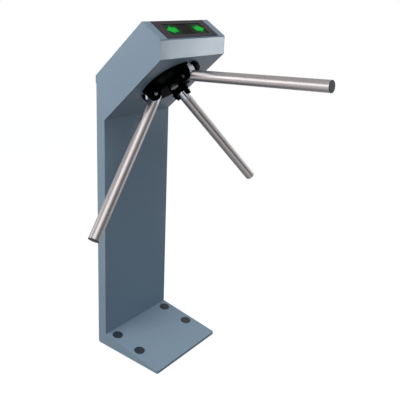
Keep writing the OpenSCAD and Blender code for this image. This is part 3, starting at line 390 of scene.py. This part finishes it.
def copper_winding():
    """Close turns of enamelled wire."""
    wire = Surface("copper_winding", rgb(196, 110, 62), roughness=0.3, metallic=1.0)
    turns = wire.noise(size_mm=0.7, detail=0, stretch=(0.05, 1, 0.05))
    wire.tone(turns, dark=0.6, light=1.1)
    wire.relief(turns, depth_mm=0.2)
    return wire


def brass_part():
    """Turned brass."""
    brass = Surface("brass_part", rgb(206, 176, 108), roughness=0.26, metallic=1.0)
    brass.tone(brass.noise(size_mm=4, detail=3), dark=0.88, light=1.08)
    brass.gloss(brass.noise(size_mm=2), change=0.06)
    return brass


def rubber_black():
    """Smooth black rubber."""
    rubber = Surface("rubber_black", rgb(34, 34, 35), roughness=0.62)
    rubber.tone(rubber.noise(size_mm=8), dark=0.85, light=1.15)
    rubber.gloss(rubber.noise(size_mm=4), change=0.05)
    return rubber


MATERIALS = {
    make.__name__: make().material
    for make in (housing_paint, rotor_black, tube_steel, polished_steel, zinc_steel, machined_steel,
                 dark_plastic, bezel_plastic, window_tint, green_light, red_light, circuit_board,
                 copper_winding, brass_part, rubber_black)
}


# Pieces with rounded edges, made from the solids
def flat_mesh(node):
    """The node's surface with welded points and one face for each flat."""
    mesh = NODES[node].data.copy()
    work = bmesh.new()
    work.from_mesh(mesh)
    bmesh.ops.remove_doubles(work, verts=work.verts, dist=WELD_MM * MM)
    bmesh.ops.dissolve_degenerate(work, edges=work.edges, dist=SLIVER_MM * MM)
    bmesh.ops.dissolve_limit(work, angle_limit=FLAT_ANGLE, verts=work.verts, edges=work.edges)
    work.to_mesh(mesh)
    work.free()
    if "custom_normal" in mesh.attributes:
        mesh.attributes.remove(mesh.attributes["custom_normal"])
    mesh.materials.clear()
    return mesh


def rounded_mesh(piece, width):
    """The piece's mesh with bevelled edges."""
    bevel = piece.modifiers.new("edges", "BEVEL")
    bevel.width = width
    bevel.segments = EDGE_SEGMENTS
    bevel.limit_method = "ANGLE"
    bevel.angle_limit = EDGE_ANGLE
    bevel.use_clamp_overlap = True
    bevel.miter_outer = "MITER_SHARP"
    graph = bpy.context.evaluated_depsgraph_get()
    mesh = bpy.data.meshes.new_from_object(piece.evaluated_get(graph))
    piece.modifiers.clear()
    mesh.shade_smooth()
    mesh.set_sharp_from_angle(angle=SHARP_ANGLE)
    return mesh


def add_grain(mesh):
    """Keeps each point's place across and along the mesh's long axis, in metres, for brushed steel."""
    points = np.array([vertex.co for vertex in mesh.vertices])
    centred = points - points.mean(0)
    long_axis, *cross_axes = np.linalg.svd(centred, full_matrices=False)[2]
    places = centred @ np.array([*cross_axes, long_axis]).T
    grain = mesh.attributes.new("grain", "FLOAT_VECTOR", "POINT")
    grain.data.foreach_set("vector", places.astype(np.float32).ravel())


def rounded_piece(node):
    """A piece that stands for a CAD node: the same solid with rounded edges."""
    piece = add_object(f"{node}_finished", flat_mesh(node))
    piece.data = rounded_mesh(piece, EDGE_MM[node] * MM)
    weigh = piece.modifiers.new("normals", "WEIGHTED_NORMAL")
    weigh.keep_sharp = True
    add_grain(piece.data)
    piece.data.materials.append(MATERIALS[SLOT_OF[node]])
    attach(piece, BODY_OF[node])
    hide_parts(node)
    return piece


PIECES = {node: rounded_piece(node) for node in EDGE_MM}

for node, cad in NODES.items():
    if node not in PIECES:
        cad.data.materials.clear()
        cad.data.materials.append(MATERIALS[SLOT_OF[node]])


# Camera
def turned_axes(yaw, pitch, roll):
    """Right, up and forward of a camera that looks along +Y at zero angles."""
    yaw, pitch, roll = (math.radians(angle) for angle in (yaw, pitch, roll))
    level_forward = Vector((-math.sin(yaw), math.cos(yaw), 0))
    forward = level_forward * math.cos(pitch) - Vector((0, 0, math.sin(pitch)))
    level_right = Vector((math.cos(yaw), math.sin(yaw), 0))
    upright = level_right.cross(forward)
    right = level_right * math.cos(roll) + upright * math.sin(roll)
    up = upright * math.cos(roll) - level_right * math.sin(roll)
    return right, up, forward


def place_camera():
    data = bpy.data.cameras.new("camera")
    data.lens = LENS_MM
    data.sensor_width = SENSOR_MM
    data.shift_y = SHIFT_Y
    data.clip_end = CAMERA_REACH
    camera = add_object("camera", data)
    right, up, forward = turned_axes(CAMERA_YAW, CAMERA_PITCH, CAMERA_ROLL)
    turn = Matrix((right, up, -forward)).transposed().to_4x4()
    camera.matrix_world = Matrix.Translation(CAMERA_AT) @ turn
    bpy.context.scene.camera = camera


# Light
def area_lamp(name, mirrored, at, towards, size, watts, beam=180, colour=(1, 1, 1), pieces=()):
    """An area lamp that only shows in gloss, or only lights. It reaches all pieces if it names none."""
    data = bpy.data.lights.new(name, "AREA")
    data.shape = "RECTANGLE"
    data.size, data.size_y = size
    data.energy = watts
    data.spread = math.radians(beam)
    data.color = colour
    lamp = add_object(name, data)
    lamp.location = at
    lamp.rotation_euler = (Vector(towards) - Vector(at)).to_track_quat("-Z", "Y").to_euler()
    lamp.visible_camera = False
    lamp.visible_glossy = mirrored
    lamp.visible_diffuse = not mirrored
    if pieces:
        receivers = bpy.data.collections.new(f"{name}_receivers")
        for node in pieces:
            receivers.objects.link(PIECES[node])
        lamp.light_linking.receiver_collection = receivers


def light_world():
    """White where it is seen, pale grey with a darker side in gloss, a soft cool fill for the rest."""
    world = bpy.data.worlds.new("studio")
    bpy.context.scene.world = world
    world.use_nodes = True
    graph = Graph(world.node_tree)
    background = graph.tree.nodes["Background"]
    direct, mirrored = graph.rays()
    direction = graph.node("ShaderNodeTexCoord").outputs["Generated"]
    dark_side = Vector(DARK_SIDE).normalized()
    facing = graph.node("ShaderNodeVectorMath", {0: direction, 1: dark_side}, operation="DOT_PRODUCT")
    gloss = graph.blend(graph.ramp(facing.outputs["Value"], *DARK_SPAN), GLOSS_LEVEL, GLOSS_DARK)
    level = graph.blend(mirrored, FILL_LEVEL, gloss)
    uncoloured = graph.math("MAXIMUM", direct, mirrored)
    graph.put(background.inputs["Color"], graph.blend(uncoloured, FILL_COLOUR, WHITE, kind="RGBA"))
    graph.put(background.inputs["Strength"], graph.blend(direct, level, 1.0))


def pale_floor():
    """White where seen, with the object's shadow; in gloss its own level, with painted shade in two spots.
    """
    half = FLOOR_SIZE / 2
    corners = [(-half, -half, 0), (half, -half, 0), (half, half, 0), (-half, half, 0)]
    mesh = bpy.data.meshes.new("floor")
    mesh.from_pydata(corners, [], [(0, 1, 2, 3)])
    surface = Surface("floor", WHITE, roughness=0.9, Specular_IOR_Level=0.0, Emission_Color=WHITE)
    direct, mirrored = surface.rays()
    place = surface.place()

    def away_from(point, start, end):
        return surface.ramp(surface.distance(place, point), start, end)

    far = away_from((0, 0, 0), *FLOOR_FADE)
    seen_share = surface.blend(far, FLOOR_LIT_SHARE, 0.0)
    seen_light = surface.blend(far, FLOOR_OWN_LIGHT, 1.0)
    # Painted shade in gloss: a painted shadow around the object and a painted dark patch further off
    painted_shadow_part = surface.blend(away_from(*PAINTED_SHADOW_FADE), *FLOOR_IN_GLOSS)
    painted_dark_part = surface.blend(away_from(*PAINTED_DARK_FADE), PAINTED_DARK_LEVEL, 1.0)
    gloss = surface.math("MULTIPLY", painted_shadow_part, painted_dark_part)
    met_share = surface.blend(mirrored, FLOOR_BOUNCE, 0.0)
    met_light = surface.blend(mirrored, 0.0, gloss)
    surface.set(Base_Color=surface.blend(direct, met_share, seen_share),
                Emission_Strength=surface.blend(direct, met_light, seen_light))
    mesh.materials.append(surface.material)
    add_object("floor", mesh)


place_camera()
for name, lamp in LAMPS.items():
    area_lamp(name, mirrored=False, **lamp)
for name, sheen in SHEENS.items():
    area_lamp(name, mirrored=True, **sheen)
light_world()
pale_floor()
bpy.context.scene.view_settings.view_transform = "Standard"
